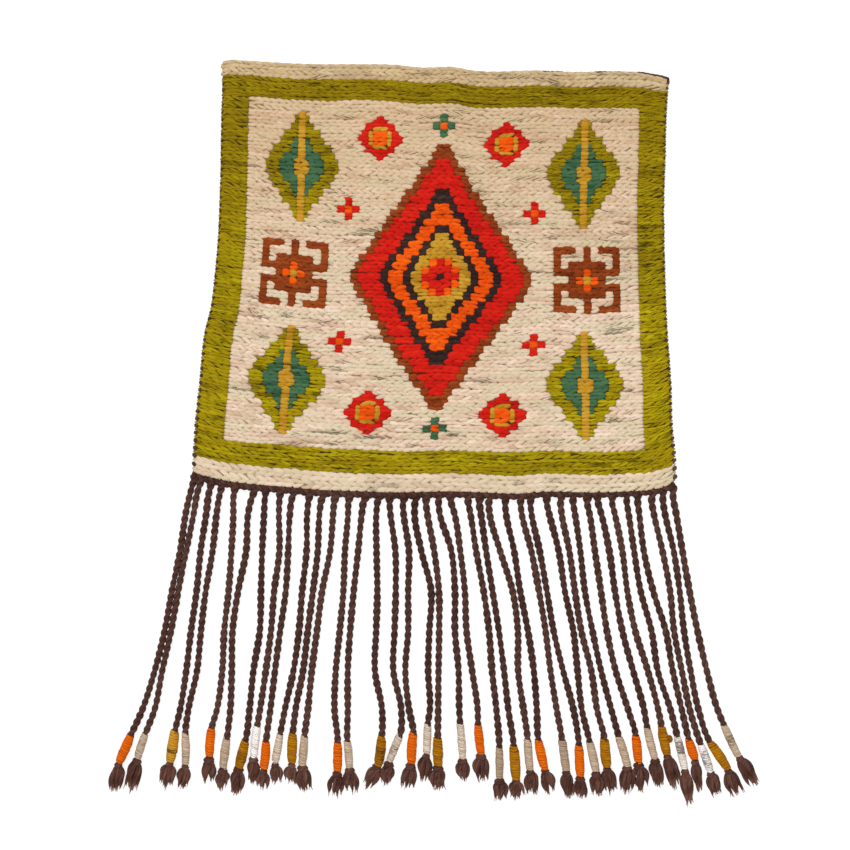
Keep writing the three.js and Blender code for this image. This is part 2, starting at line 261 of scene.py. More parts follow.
def chart_of_rug():
    """The yarn at each row and warp: cream header and foot, lime border, and a geometric field."""
    chart = np.full((ROWS, WARPS), "c")
    first = HEADER + BAND
    chart[HEADER : ROWS - FOOT] = "l"
    chart[first : first + FIELD, SIDE_WARPS : WARPS - SIDE_WARPS] = "f"
    row, warp = first + FIELD // 2, WARPS // 2
    for half, yarn in ((24, "b"), (22, "r"), (16, "k"), (14, "o"), (10, "k"), (8, "y")):
        lozenge(chart, row, warp, half, yarn)
    lay(chart, whole(BLOOM), row, warp)
    for side in (-1, 1):
        lay(chart, whole(HORNS), row, warp + side * 39)
        lay(chart, whole(SEED), row + side * 41, warp)
        for up in (-1, 1):
            corner = row + up * 29, warp + side * 38
            for half, yarn in ((10, "l"), (6, "t"), (2, "y")):
                lozenge(chart, *corner, half, yarn)
            chart[corner[0] - 15 : corner[0] + 15, corner[1] - 1 : corner[1] + 1] = "y"
            lay(chart, whole(STAR, 1), row + up * 37, warp + side * 17)
            lay(chart, whole(SEED), row + up * 18, warp + side * 25, (("t", "r"),))
    return chart


# ---- shapes that are repeated, each a mesh made once ----


def shape_of(bm):
    """A bmesh's places, how many corners each face has, and those corners, also in turned order."""
    bmesh.ops.recalc_face_normals(bm, faces=bm.faces)
    bm.verts.index_update()
    places = np.array([v.co for v in bm.verts])
    corners = np.array([v.index for f in bm.faces for v in f.verts])
    counts = np.array([len(f.verts) for f in bm.faces])
    bm.free()
    starts = np.cumsum(counts) - counts
    back = np.repeat(2 * starts + counts, counts) - np.arange(len(corners))
    back[starts] = starts  # a turned face still starts at the same corner, so it is split the same way
    return {"places": places, "counts": counts, "starts": starts, "corners": corners, "turned": corners[back]}


def leaf_shape(around, rings):
    """A closed leaf along X from -1 to 1, with its places round the axis kept as an angle."""
    bm = bmesh.new()
    bmesh.ops.create_uvsphere(bm, u_segments=len(around), v_segments=len(rings) + 1, radius=1)
    bmesh.ops.rotate(bm, verts=bm.verts, matrix=Matrix.Rotation(math.pi / 2, 3, "Y"))
    shape = shape_of(bm)
    x, y, z = shape["places"].T
    level = np.round((1 + np.arcsin(np.clip(x, -1, 1)) * 2 / math.pi) / 2 * (len(rings) + 1)).astype(int)
    shape["along"] = np.array([-1, *rings, 1])[level]
    turn = np.round(np.arctan2(z, y) / (2 * math.pi) * len(around)).astype(int) % len(around)
    shape["angle"] = np.radians(np.array(around))[turn]
    shape["pole"] = (level == 0) | (level == len(rings) + 1)
    return shape


def tube_shape(sides, rings):
    """A closed tube along X from 0 to 1, with its places round the axis kept as an angle."""
    bm = bmesh.new()
    bmesh.ops.create_cone(
        bm, cap_ends=True, cap_tris=False, segments=sides, radius1=1, radius2=1, depth=1,
        matrix=Matrix.Translation((0.5, 0, 0)) @ Matrix.Rotation(math.pi / 2, 4, "Y"),
    )
    long_edges = [e for e in bm.edges if abs(e.verts[0].co.x - e.verts[1].co.x) > 0.5]
    bmesh.ops.subdivide_edges(bm, edges=long_edges, cuts=rings - 2, use_grid_fill=True)
    shape = shape_of(bm)
    x, y, z = shape["places"].T
    shape["ring"] = np.round(x * (rings - 1)).astype(int)
    shape["angle"] = np.arctan2(z, y)
    return shape


class Batch:
    """Copies of one shape: places in millimetres, and what the wool materials read from them.

    yarn is the place along and inside the straightened yarn in millimetres, crown is 1 on its upper
    side and 0 where it dives between its neighbours, and the wool materials paint shade where it is low,
    tint is one number a copy from dark to light, and natural is how much dark natural fibre is spun in,
    which in the tassels stands instead for the painted light at their tips.
    """

    def __init__(self, shape, places, yarn, crown, tint, natural=0.0):
        self.shape = shape
        self.places = places
        self.yarn = yarn
        self.crown = np.broadcast_to(crown, places.shape[:2])
        self.tint = np.repeat(tint, places.shape[1])
        self.natural = np.broadcast_to(natural, places.shape[:2])


def faces_of(batch):
    """The corners of each copy's faces, turned round where placing it mirrored it, so that all face out."""
    corners, starts = batch.shape["corners"], batch.shape["starts"]
    after = np.arange(len(corners)) + 1
    after[starts + batch.shape["counts"] - 1] = starts
    places = batch.places[:, corners] - batch.places[:, :1]
    areas = np.add.reduceat(np.cross(places, places[:, after]), starts, axis=1)
    volume = np.einsum("cfi,cfi->c", places[:, starts], areas)
    return np.where(volume[:, None] < 0, batch.shape["turned"], corners)


def piece_of(name, batches, material, node):
    """Joins batches of copies into one piece, which stands for a CAD node and takes a slot's finish."""
    corners, counts, start = [], [], 0
    for batch in batches:
        copies, points = batch.places.shape[:2]
        first = start + points * np.arange(copies)[:, None]
        corners.append((faces_of(batch) + first).ravel())
        counts.append(np.tile(batch.shape["counts"], copies))
        start += copies * points
    corners = np.concatenate(corners).astype(np.int32)
    counts = np.concatenate(counts)
    mesh = bpy.data.meshes.new(name)
    mesh.vertices.add(start)
    mesh.loops.add(len(corners))
    mesh.polygons.add(len(counts))
    places = np.concatenate([b.places.reshape(-1, 3) for b in batches])
    places[:, 2] = np.maximum(places[:, 2], FLOOR_GAP)
    mesh.vertices.foreach_set("co", places.ravel() * MM)
    mesh.loops.foreach_set("vertex_index", corners)
    mesh.polygons.foreach_set("loop_start", np.concatenate([[0], np.cumsum(counts)[:-1]]).astype(np.int32))
    mesh.update(calc_edges=True)
    mesh.shade_smooth()
    for key in ("yarn", "crown", "tint", "natural"):
        kind, field = ("FLOAT_VECTOR", "vector") if key == "yarn" else ("FLOAT", "value")
        values = np.concatenate([getattr(b, key).reshape(-1) for b in batches])
        mesh.attributes.new(key, kind, "POINT").data.foreach_set(field, values.astype(np.float32))
    mesh.materials.append(material)
    piece = bpy.data.objects.new(name, mesh)
    bpy.context.scene.collection.objects.link(piece)
    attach(piece, "root")
    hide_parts(*([node] if isinstance(node, str) else node))
    return piece


# ---- lines and the cloth's own grid ----


def reach_along(line):
    """How far along a line each of its places is."""
    return np.concatenate([[0], np.cumsum(np.linalg.norm(np.diff(line, axis=0), axis=1))])


def unit(vectors):
    """The same directions, each one long."""
    return vectors / np.linalg.norm(vectors, axis=1)[:, None]


def smooth_line(points, steps):
    """Evenly spaced places on a smooth line through the points."""
    points = np.asarray(points, float)
    reach = reach_along(points)
    slope = np.gradient(points, reach, axis=0)
    at = np.linspace(0, reach[-1], steps + 1)
    n = np.clip(np.searchsorted(reach, at, side="right") - 1, 0, len(points) - 2)
    gap = (reach[n + 1] - reach[n])[:, None]
    t = (at - reach[n])[:, None] / gap
    return (
        (2 * t**3 - 3 * t**2 + 1) * points[n]
        + (t**3 - 2 * t**2 + t) * gap * slope[n]
        + (3 * t**2 - 2 * t**3) * points[n + 1]
        + (t**3 - t**2) * gap * slope[n + 1]
    )


EDGE_STEPS = 400
SIDES = {
    "top": smooth_line([CORNER, *EDGES["top"]], EDGE_STEPS),
    "bottom": smooth_line(EDGES["bottom"][::-1], EDGE_STEPS),
    "left": smooth_line([CORNER, *EDGES["left"][::-1]], EDGE_STEPS),
    "right": smooth_line(EDGES["right"], EDGE_STEPS),
}
for line in SIDES.values():
    line += PART_ORIGIN


def on_side(side, share):
    """The place at a share of the way along one side of the cloth."""
    steps = np.linspace(0, 1, EDGE_STEPS + 1)
    return np.stack([np.interp(share, steps, SIDES[side][:, axis]) for axis in (0, 1)], axis=-1)


def on_cloth(warp, down):
    """The place on the cloth at a number of warps from the left and millimetres of rows from the top.

    The rows bend with the top and bottom edges, and the warps with the left and right ones. Inside the
    cloth the rows also sway by about a millimetre, in long waves and in short ones.
    """
    from_left, from_right = warp / SIDE_WARPS, (WARPS - warp) / SIDE_WARPS
    eased = from_left * np.exp(0.5 - from_left**2 / 2) - from_right * np.exp(0.5 - from_right**2 / 2)
    s, t = (warp + BORDER_EASE * eased) / WARPS, down / CLOTH_HEIGHT
    sway = 0.9 * np.sin(warp / 9.3 + 1.1) * np.sin(down / 61 + 0.4) + 0.6 * np.sin(warp / 4.1 + down / 37)
    t = t + np.clip(sway * np.sin(np.clip(t, 0, 1) * math.pi), -2, 2) / CLOTH_HEIGHT
    inside_s, inside_t = np.clip(s, 0, 1), np.clip(t, 0, 1)
    past_edge = (s - inside_s) * WARPS * WARP_PITCH
    s, t = s[..., None], t[..., None]
    a, b = SIDES["top"][0], SIDES["top"][-1]
    c, d = SIDES["bottom"][0], SIDES["bottom"][-1]
    place = (1 - t) * on_side("top", inside_s) + t * on_side("bottom", inside_s)
    place += (1 - s) * on_side("left", inside_t) + s * on_side("right", inside_t)
    place -= (1 - s) * (1 - t) * a + s * (1 - t) * b + (1 - s) * t * c + s * t * d
    place[..., 0] += past_edge
    return place


def on_edge(side, x, down):
    """The place x millimetres to the right of the cloth's left side, -1, or of its right side, 1."""
    return on_cloth(WARPS * (side > 0) + x / WARP_PITCH, down)


# ---- materials ----


def linear(colour):
    """A colour's sRGB hex value as linear light."""
    parts = [int(colour[i : i + 2], 16) / 255 for i in (1, 3, 5)]
    return (*[p / 12.92 if p <= 0.04045 else ((p + 0.055) / 1.055) ** 2.4 for p in parts], 1)


def node(tree, kind, inputs=None, output=0, **settings):
    """Adds a node with its settings, gives its inputs values or links, and returns one of its outputs."""
    made = tree.nodes.new(kind)
    for key, value in settings.items():
        setattr(made, key, value)
    for key, value in (inputs or {}).items():
        if isinstance(value, bpy.types.NodeSocket):
            tree.links.new(value, made.inputs[key])
        else:
            made.inputs[key].default_value = value
    return made.outputs[output] if made.outputs else None


def bare_material(name):
    """A material whose tree is still empty, and the tree."""
    material = bpy.data.materials.new(name)
    material.use_nodes = True
    material.node_tree.nodes.clear()
    return material, material.node_tree


def wool_grains(tree, yarn, place):
    """Noise at every scale of hand-spun wool, from its fibres to its lots of dye.

    The first three follow the yarn in millimetres, and the other two the cloth in metres. Single fibres
    are 0.03 mm, too fine to show, so they are drawn as tufts 0.7 mm wide.
    """
    sizes = {
        "fibres": (yarn, (7, 0.7, 0.7), 3),
        "streaks": (yarn, (16, 2.6, 2.6), 2),
        "slubs": (yarn, (6, 0.95, 0.95), 1),
        "lots": (place, (0.09, 0.022, 0.09), 2),
        "batches": (place, (0.07, 0.012, 0.07), 1),
    }
    grains = {}
    for seed, (key, (source, size, detail)) in enumerate(sizes.items()):
        scale, apart = [1 / s for s in size], (5.3 * seed, 1.9 * seed, 0)
        scaled = node(tree, "ShaderNodeMapping", {"Vector": source, "Scale": scale, "Location": apart})
        grains[key] = node(tree, "ShaderNodeTexNoise", {"Vector": scaled, "Scale": 1, "Detail": detail})
    return grains


def spun_wool(name, deep, mid, light, dark=None, other=None, upper=None, flecks=0.0, by_stitch=0.3,
              by_streak=0.4, by_lot=0.3, groove=0.6, dark_share=0.6, greying=0.6, other_share=0.5):
    """Hand-spun wool: matt, with soft fibre streaks along the yarn and no two stitches quite alike.

    deep, mid and light are its colours from the shade between fibres to their crests. dark is the
    natural dark fibre spun in here and there, other a second lot of the yarn that some rows lean to, and
    upper a colour that the rows near the cloth's upper edge lean to. groove is the painted shade where a
    yarn dives: the share of its colour that is left where its crown is 0. greying is how far a dark
    stretch turns as a whole.
    """
    material, tree = bare_material(name)
    yarn = node(tree, "ShaderNodeAttribute", output="Vector", attribute_name="yarn")
    crown, tint, natural = (
        node(tree, "ShaderNodeAttribute", output="Fac", attribute_name=key)
        for key in ("crown", "tint", "natural")
    )
    place = node(tree, "ShaderNodeTexCoord", output="Object")
    grains = wool_grains(tree, yarn, place)
    shares = [(tint, by_stitch), (grains["fibres"], 0.4)]
    shares += [(grains["streaks"], by_streak), (grains["lots"], by_lot)]
    shade = 0.5 - sum(share for _, share in shares) / 2
    for source, share in shares:
        shade = node(tree, "ShaderNodeMath", {0: source, 1: share, 2: shade}, operation="MULTIPLY_ADD")
    colour = node(tree, "ShaderNodeValToRGB", {"Fac": shade})
    ends = colour.node.color_ramp.elements
    ends[0].position, ends[0].color = 0.25, linear(deep)
    ends[1].position, ends[1].color = 0.78, linear(light)
    ends.new(0.5).color = linear(mid)
    layers = []  # how much of a colour lies over the ramp's, and the colour
    if other:
        spread = {"Value": grains["batches"], "From Min": 0.42, "From Max": 0.62, "To Max": other_share}
        layers.append((node(tree, "ShaderNodeMapRange", spread), other))
    if dark:
        greyed = node(tree, "ShaderNodeMath", {0: natural, 1: dark_share * greying}, operation="MULTIPLY")
        # The more dark fibre a stretch holds, the more of its tufts are dark.
        spun_in = node(tree, "ShaderNodeMath", {0: natural, 1: flecks}, operation="MAXIMUM")
        level = node(tree, "ShaderNodeMath", {0: spun_in, 1: -0.36, 2: 0.72}, operation="MULTIPLY_ADD")
        tufts = node(tree, "ShaderNodeMath", {0: grains["slubs"], 1: level}, operation="SUBTRACT")
        spread = {"Value": tufts, "From Min": 0.0, "From Max": 0.16, "To Max": dark_share}
        layers += [(greyed, dark), (node(tree, "ShaderNodeMapRange", spread), dark)]
    for share, over in layers:
        colour = node(tree, "ShaderNodeMix", {0: share, 6: colour, 7: linear(over)}, 2, data_type="RGBA")
    unshaded_share = node(
        tree, "ShaderNodeMapRange", {"Value": crown, "From Min": 0.0, "From Max": 0.8},
        interpolation_type="SMOOTHSTEP",
    )
    # Painted shade: the colour darkens as a yarn's crown falls, to the groove share of it where the yarn
    # dives, and turns warmer there, as what light gets into a groove has been thrown back by the wool beside
    # it.
    shade = (groove, groove**1.2, groove**1.5, 1)
    painted_groove_shade = node(tree, "ShaderNodeMix", {0: unshaded_share, 6: shade, 7: (1, 1, 1, 1)}, 2, data_type="RGBA")
    colour = node(
        tree, "ShaderNodeMix", {0: 1.0, 6: colour, 7: painted_groove_shade}, 2, data_type="RGBA", blend_type="MULTIPLY"
    )
    # Near the upper edge the colour leans to upper after the painted shade, which softens that shade there
    # too.
    if upper:
        height = node(tree, "ShaderNodeSeparateXYZ", {0: place}, "Y")
        share = node(
            tree, "ShaderNodeMapRange",
            {"Value": height, "From Min": 0.12, "From Max": 0.42, "To Max": 0.45},
            interpolation_type="SMOOTHSTEP",
        )
        colour = node(tree, "ShaderNodeMix", {0: share, 6: colour, 7: linear(upper)}, 2, data_type="RGBA")
    parts = {0: grains["streaks"], 1: 0.8, 2: grains["fibres"]}
    relief = node(tree, "ShaderNodeMath", parts, operation="MULTIPLY_ADD")
    shader = node(
        tree, "ShaderNodeBsdfPrincipled",
        {
            "Base Color": colour, "Roughness": 0.9, "Specular IOR Level": 0.05, "IOR": 1.53,
            "Sheen Weight": 0.03, "Sheen Roughness": 0.5,
            "Normal": node(tree, "ShaderNodeBump", {"Strength": 1.0, "Distance": 0.5 * MM, "Height": relief}),
        },
    )
    node(tree, "ShaderNodeOutputMaterial", {"Surface": shader})
    return material


# Undyed sheep's wool, spun thick by hand: soft and dull, its cream broken by greyer rows and dark hairs.
HEADER_WOOL = spun_wool(
    "undyed wool, tan cream", "#ae926a", "#c8ae85", "#d6c099", dark="#7c6950", other="#b9a27f", flecks=0.35,
    by_stitch=0.5, groove=0.68, dark_share=0.5
)
# A lighter lot of the same wool, with stitches that differ the most. It turns browner and darker towards the
# upper edge, partly its own colour and partly painted shade.
FIELD_WOOL = spun_wool(
    "undyed wool, cream", "#c2a387", "#dbbfa6", "#e9d3bd", dark="#6b604f", other="#d3c5a6",
    upper="#bf9c6c", flecks=0.16, by_stitch=0.6, groove=0.7, greying=0.35, other_share=0.8
)
# The palest lot, in fat stitches with deep grooves, painted darker than the other creams', so that its rows
# stand out like braid.
FOOT_WOOL = spun_wool(
    "undyed wool, pale cream", "#c2a88b", "#d8c1a6", "#e6d3bb", dark="#7d6e5a", other="#d3c7a4",
    flecks=0.08, by_stitch=0.45, groove=0.5, greying=0.35
)
# Hand-dyed wool took the dye unevenly, so that the lime runs from olive to yellow in streaks.
# It darkens to olive towards the upper edge, partly its own colour and partly painted shade.
LIME_WOOL = spun_wool(
    "dyed wool, lime", "#665602", "#a08e08", "#c0ae10", dark="#4b3f06", other="#a2860a", upper="#7b6007",
    flecks=0.1, by_stitch=0.38, by_lot=0.36, groove=0.28, dark_share=0.7
)
# The cream's gaps are its own yarn with painted shade, darker than the cream, and its dark fibre stands for
# the brown warps, also darker than their own wool: painted shade.
GAP_SHADE_WOOL = spun_wool(
    "wool going down between the warps, painted in shade", "#9c7f5a", "#ad8f68", "#bc9f76", dark="#3a2b0c", greying=1,
    dark_share=0.95
)
# The motifs are vat-dyed yarn of one lot each: full, even colours, with only their fibres' own streaks.
TEAL_WOOL = spun_wool("dyed wool, blue green", "#24402a", "#3f6446", "#55784f", groove=0.5)
RED_WOOL = spun_wool("dyed wool, red", "#a3120c", "#c81c12", "#da2e1a", groove=0.5)
BLACK_WOOL = spun_wool("dyed wool, brown black", "#20151a", "#33231f", "#46332e")
RUST_WOOL = spun_wool("dyed wool, rust brown", "#60260a", "#8a3c16", "#a25222", groove=0.5)
ORANGE_WOOL = spun_wool("dyed wool, orange", "#bc3e04", "#e2500a", "#f16e14", groove=0.55)
GOLD_WOOL = spun_wool("dyed wool, old gold", "#8e6010", "#bb8a26", "#cca03a", groove=0.55)
# Hard-twisted cord: dark and close, with painted shade where its plies dip into each other, so that it is
# paler only where they stand up to the light.
BROWN_WOOL = spun_wool("brown goat hair and wool, plied", "#321c18", "#50342d", "#6b4c42", groove=0.5)
# The warp is the same brown, and leans to the border's olive near the upper edge.
WARP_WOOL = spun_wool(
    "brown wool, hard spun warp", "#33201a", "#553a2f", "#725247", upper="#54430f", groove=0.5
)
# Untwisted, its fibres fan out and catch more light, which is painted in as a lighter colour, and its tips
# are painted paler still, where light shines through them.
LOOSE_WOOL = spun_wool(
    "brown goat hair and wool, untwisted", "#38201b", "#573830", "#775346", dark="#94695a", by_stitch=0.4,
    groove=0.5, greying=0.7
)
# Wound tight and side by side, so that its windings show as soft ridges in one bright colour.
WRAP_ORANGE = spun_wool("dyed wool, bright orange, wound", "#c04c02", "#dd6304", "#ee7c10", groove=0.94)
# A thinner yarn of mixed fleeces, so that one wrap is nearly white and another grey.
WRAP_CREAM = spun_wool(
    "undyed wool, grey cream, wound", "#957d66", "#c0a88e", "#f6f0ea", dark="#463c32", flecks=0.2,
    by_stitch=0.9, by_lot=0.1, groove=0.8, dark_share=0.75, greying=0.15
)
# A yarn dyed over grey and white fleece, so that it goes from gold to brown.
WRAP_MUSTARD = spun_wool(
    "dyed wool, mustard, wound", "#7e4a06", "#b17406", "#cf9a34", dark="#35230f", flecks=0.12,
    by_stitch=0.9, by_lot=0.1, groove=0.86, dark_share=0.75, greying=0.3
)


# ---- stitches ----

LEAF = leaf_shape((0, 48, 90, 132, 180, 270), (-0.82, -0.45, 0, 0.45, 0.82))
THIN_LEAF = leaf_shape((0, 60, 120, 180, 270), (-0.7, -0.25, 0.25, 0.7))
BACK_LEAF = leaf_shape((0, 180, 270), (-0.5, 0.5))
STITCH_FIELDS = [
    ("left", float), ("right", float), ("row", int), ("lean_left", float), ("lean_right", float),
    ("dives_left", bool), ("dives_right", bool),
]
KNOTS = 25  # places along a row between which its yarn changes slowly
ROW_SLANT = random.normal(16.5, 3, ROWS) * np.where(np.arange(ROWS) % 2, 1, -1)
ROW_PHASE = np.repeat(random.uniform(0, 1, ROWS // 2), 2)
ROW_WAVE, ROW_FATNESS, ROW_SHADE, ROW_NATURAL = random.normal(size=(4, ROWS, KNOTS))
ROW_NATURAL[0, 1] = 2.4  # a grey patch near the header's left end
ROW_NATURAL[44:58:2, 21:23] = random.uniform(0.9, 1.7, (7, 2))  # a greyer stretch of the field's right side
ROW_SHADE[40:62, 19:24] -= 1.0
ROW_SHADE[64:102, 19:24] += 1.1  # and a paler one below it


def along_row(values, row, warp):
    """A row's own slowly changing value at some warp."""
    at = np.clip(warp / WARPS, 0, 1) * (KNOTS - 1)
    knot = np.minimum(at.astype(int), KNOTS - 2)
    return values[row, knot] + (at - knot) * (values[row, knot + 1] - values[row, knot])


def natural_at(row, warp):
    """How much dark fibre is spun in: none along most of a row, and a few stitches of it here and there."""
    return np.clip((along_row(ROW_NATURAL, row, warp) - 0.95) / 0.9, 0, 1)


def lean(chart, row, column, side):
    """How far down the cloth a run's end leans to the row where its weft turns back.

    side is 1 at the run's right end and -1 at its left. Neighbouring yarns turn back in turn, so that
    one yarn's turns lie beside the gaps between the other's. Where the next row's run ends at another
    warp nothing turns, and the lean is not a number.
    """
    partner = ((row + 1) ^ 1) - 1 if side > 0 else row ^ 1
    if not 0 <= partner < ROWS:
        return 0
    inner, outer = (column - 1, column) if side > 0 else (column, column - 1)
    if not 0 <= outer < WARPS:
        return EDGE_TURN * (partner - row)
    same = chart[partner, inner] == chart[row, inner] and chart[partner, outer] != chart[partner, inner]
    return SLIT_TURN * (partner - row) if same else math.nan


def piece_at(chart, row, warp):
    """Which of the STITCH_PIECES the run of stitches that starts at a crossing belongs to."""
    yarn = chart[row, warp]
    if yarn == "c":
        return "header" if row < HEADER else "foot"
    if yarn == "f":
        return "field_upper" if row < ROWS // 2 else "field_lower"
    if yarn == "l":
        beside_field = HEADER + BAND <= row < HEADER + BAND + FIELD
        return "motifs" if beside_field and SIDE_WARPS < warp < WARPS - SIDE_WARPS - 1 else "border"
    return yarn


def stitches_in(chart):
    """Every stitch by piece: its ends in warps, its row, how each end leans, and if it dives there."""
    found = {}
    for row, line in enumerate(chart):
        ends = [0, *(np.flatnonzero(line[1:] != line[:-1]) + 1), WARPS]
        for start, stop in zip(ends[:-1], ends[1:]):
            piece = piece_at(chart, row, start)
            pitch = WARPS_A_FOOT_STITCH if piece == "foot" else WARPS_A_STITCH
            phase = ROW_PHASE[row] * pitch
            first = math.ceil((start + SHORTEST - phase) / pitch) * pitch + phase
            dives = np.arange(first, stop - SHORTEST, pitch)
            dives = dives + random.uniform(-0.25, 0.25, len(dives))
            bounds = [start, *dives, stop]
            for k, (left, right) in enumerate(zip(bounds[:-1], bounds[1:])):
                dives_left, dives_right = k > 0, k < len(dives)
                lean_left = math.nan if dives_left else lean(chart, row, start, -1)
                lean_right = math.nan if dives_right else lean(chart, row, stop, 1)
                if not dives_left and start > 0:
                    left -= DOVETAIL if math.isnan(lean_left) else SLIT_REACH
                if not dives_right and stop < WARPS:
                    right += DOVETAIL if math.isnan(lean_right) else SLIT_REACH
                stitch = (left, right, row, lean_left, lean_right, dives_left, dives_right)
                found.setdefault(piece, []).append(stitch)
    return {piece: np.array(rows, dtype=STITCH_FIELDS) for piece, rows in found.items()}


def fullness(shape, power, root=0.5):
    """How wide a leaf is at each of its places, from 0 at its tips to 1 at its middle."""
    return np.where(shape["pole"], 0, (1 - np.abs(shape["along"]) ** power) ** root)


def yarn_at(along, across, angle):
    """The place in the straightened yarn, at a distance and an angle from its middle."""
    return np.stack([along, across * np.cos(angle), across * np.sin(angle)], axis=-1)


def leaves(shape, stitches, size, across=0.0, natural=1.0, back=False):
    """A batch of leaf-shaped stitches lying on the cloth, or on its back."""
    count, row = len(stitches), stitches["row"]
    facing = -1 if back else 1
    wobble = random.normal(size=(6, count, 1))
    left = stitches["left"] - size["overlap"] * stitches["dives_left"]
    right = stitches["right"] + size["overlap"] * stitches["dives_right"]
    warp = ((left + right) / 2)[:, None]
    down = (ROW_ENDS[1:] - ROW_HEIGHTS / 2)[row][:, None]
    off_middle = warp / WARPS * 2 - 1
    slant = size["slant"] * (ROW_SLANT[row][:, None] + VARIES["slant"] * wobble[0])
    slant = slant + size.get("lean", 1) * SIDE_LEAN * off_middle * np.abs(off_middle)
    slant = np.radians(slant) * facing
    half = (right - left)[:, None] * WARP_PITCH / 2 * (1 + VARIES["length"] * wobble[1])
    fat = 1 + ROW_VARIES["width"] * along_row(ROW_FATNESS, row, warp[:, 0])[:, None]
    fat = fat + VARIES["width"] * wobble[2]
    width = size["width"] * ROW_HEIGHTS[row][:, None] / USUAL_ROW * fat
    a, angle = shape["along"], shape["angle"]
    # An end that turns back is blunt and leans to the next row, and an end that dives is pointed.
    leaning = np.where(a < 0, stitches["lean_left"][:, None], stitches["lean_right"][:, None])
    turned = ~np.isnan(leaning)
    power = np.where(turned, np.where(np.abs(leaning) > SLIT_TURN, SIDE_END, SLIT_END), DIVING_END)
    full = fullness(shape, power, np.where(turned, TURNED_ROOT, DIVING_ROOT))
    middle, rise = (size["crown"] + size["belly"]) / 2, (size["crown"] - size["belly"]) / 2
    pinch = 1 - size.get("pinch", 0.4) * a**2
    sideways = np.cos(angle) * full * width / 2 + across * fat * pinch
    sideways = sideways + VARIES["sideways"] * wobble[3] * (1 - a**2)
    along = a * half + size.get("stagger", 0) * wobble[1] * np.where(turned, 0, 1)
    x = along + sideways * np.sin(slant)
    y = -along * np.tan(slant) * np.where(turned, 0.6, 1) + sideways * np.cos(slant)
    y = y + np.where(turned, leaning * np.abs(a) ** 3, 0)
    z = middle - 0.8 * a**2 * facing + rise * np.sin(angle) * full**0.8
    z = z - (size.get("sink", 0) if across else 0)
    z = z + np.where(z > 1.5, VARIES["level"] * wobble[4], 0)
    place = warp + x / WARP_PITCH
    rows = np.broadcast_to(row[:, None], place.shape)
    flat = on_cloth(place, down + ROW_VARIES["wave"] * along_row(ROW_WAVE, rows, place) + y)
    places = np.concatenate([flat, np.broadcast_to(z, flat.shape[:2])[..., None]], axis=-1)
    yarn = yarn_at(along + random.uniform(0, 900, (count, 1)), width / 2, angle)
    # Painted shade: the crown falls towards a stitch's under side and its ends, and on an outer strand's side
    # away from the middle one, and the wool darkens it there.
    crown = full * (0.35 + 0.65 * np.clip(np.sin(angle) * facing, 0, 1))
    crown = crown * (1 - 0.65 * np.clip(np.cos(angle) * np.sign(across), 0, 1))
    tint = 0.5 + ROW_VARIES["shade"] * along_row(ROW_SHADE, row, warp[:, 0])
    tint = tint + VARIES["shade"] * wobble[5][:, 0]
    return Batch(shape, places, yarn, crown, tint, natural * natural_at(rows, place))


CHART = chart_of_rug()
STITCHES = stitches_in(CHART)
STITCH_PIECES = {
    "header": ("stitches_header", HEADER_WOOL),
    "foot": ("stitches_foot", FOOT_WOOL),
    "field_upper": ("stitches_field_upper", FIELD_WOOL),
    "field_lower": ("stitches_field_lower", FIELD_WOOL),
    "border": ("stitches_lime_border", LIME_WOOL),
    "motifs": ("stitches_lime_motifs", LIME_WOOL),
    "t": ("stitches_blue_green", TEAL_WOOL),
    "r": ("stitches_red", RED_WOOL),
    "k": ("stitches_brown_black", BLACK_WOOL),
    "b": ("stitches_rust", RUST_WOOL),
    "o": ("stitches_orange", ORANGE_WOOL),
    "y": ("stitches_gold", GOLD_WOOL),
}

TURN = leaf_shape((0, 60, 120, 180, 240, 300), (-0.8, -0.4, 0, 0.4, 0.8))
TURN_ROWS = {"header": (0, HEADER), "border": (HEADER, ROWS - FOOT), "foot": (ROWS - FOOT, ROWS)}


def edge_turns(rows):
    """Where the weft goes round the outermost warp, at every second row: odd rows left, even rows right."""
    boundaries = np.arange(max(rows[0], 1), rows[1])
    side = np.where(boundaries % 2, -1, 1)[:, None]
    count = len(boundaries)
    lower = (boundaries / ROWS)[:, None] ** 3
    reach = 2.5 + 0.7 * lower + 0.2 * random.normal(size=(count, 1))
    tall = 1.4 + 0.12 * random.normal(size=(count, 1))
    a, angle = TURN["along"], TURN["angle"]
    full = fullness(TURN, 3)
    down = ROW_ENDS[boundaries][:, None] + (tall * full * np.cos(angle) + 0.4 * a)
    flat = on_edge(side, side * (a * reach - 1.9), down)
    z = 4.6 + (2.2 * full * np.sin(angle) - 0.9 * np.clip(a, 0, 1) ** 2)
    places = np.concatenate([flat, np.broadcast_to(z, flat.shape[:2])[..., None]], axis=-1)
    yarn = yarn_at(a * reach + random.uniform(0, 900, (count, 1)), tall, angle)
    # Painted shade: a turn's crown falls towards its under side and its ends.
    return Batch(TURN, places, yarn, full * (0.5 + 0.5 * np.sin(angle)), random.uniform(0.4, 0.8, count))


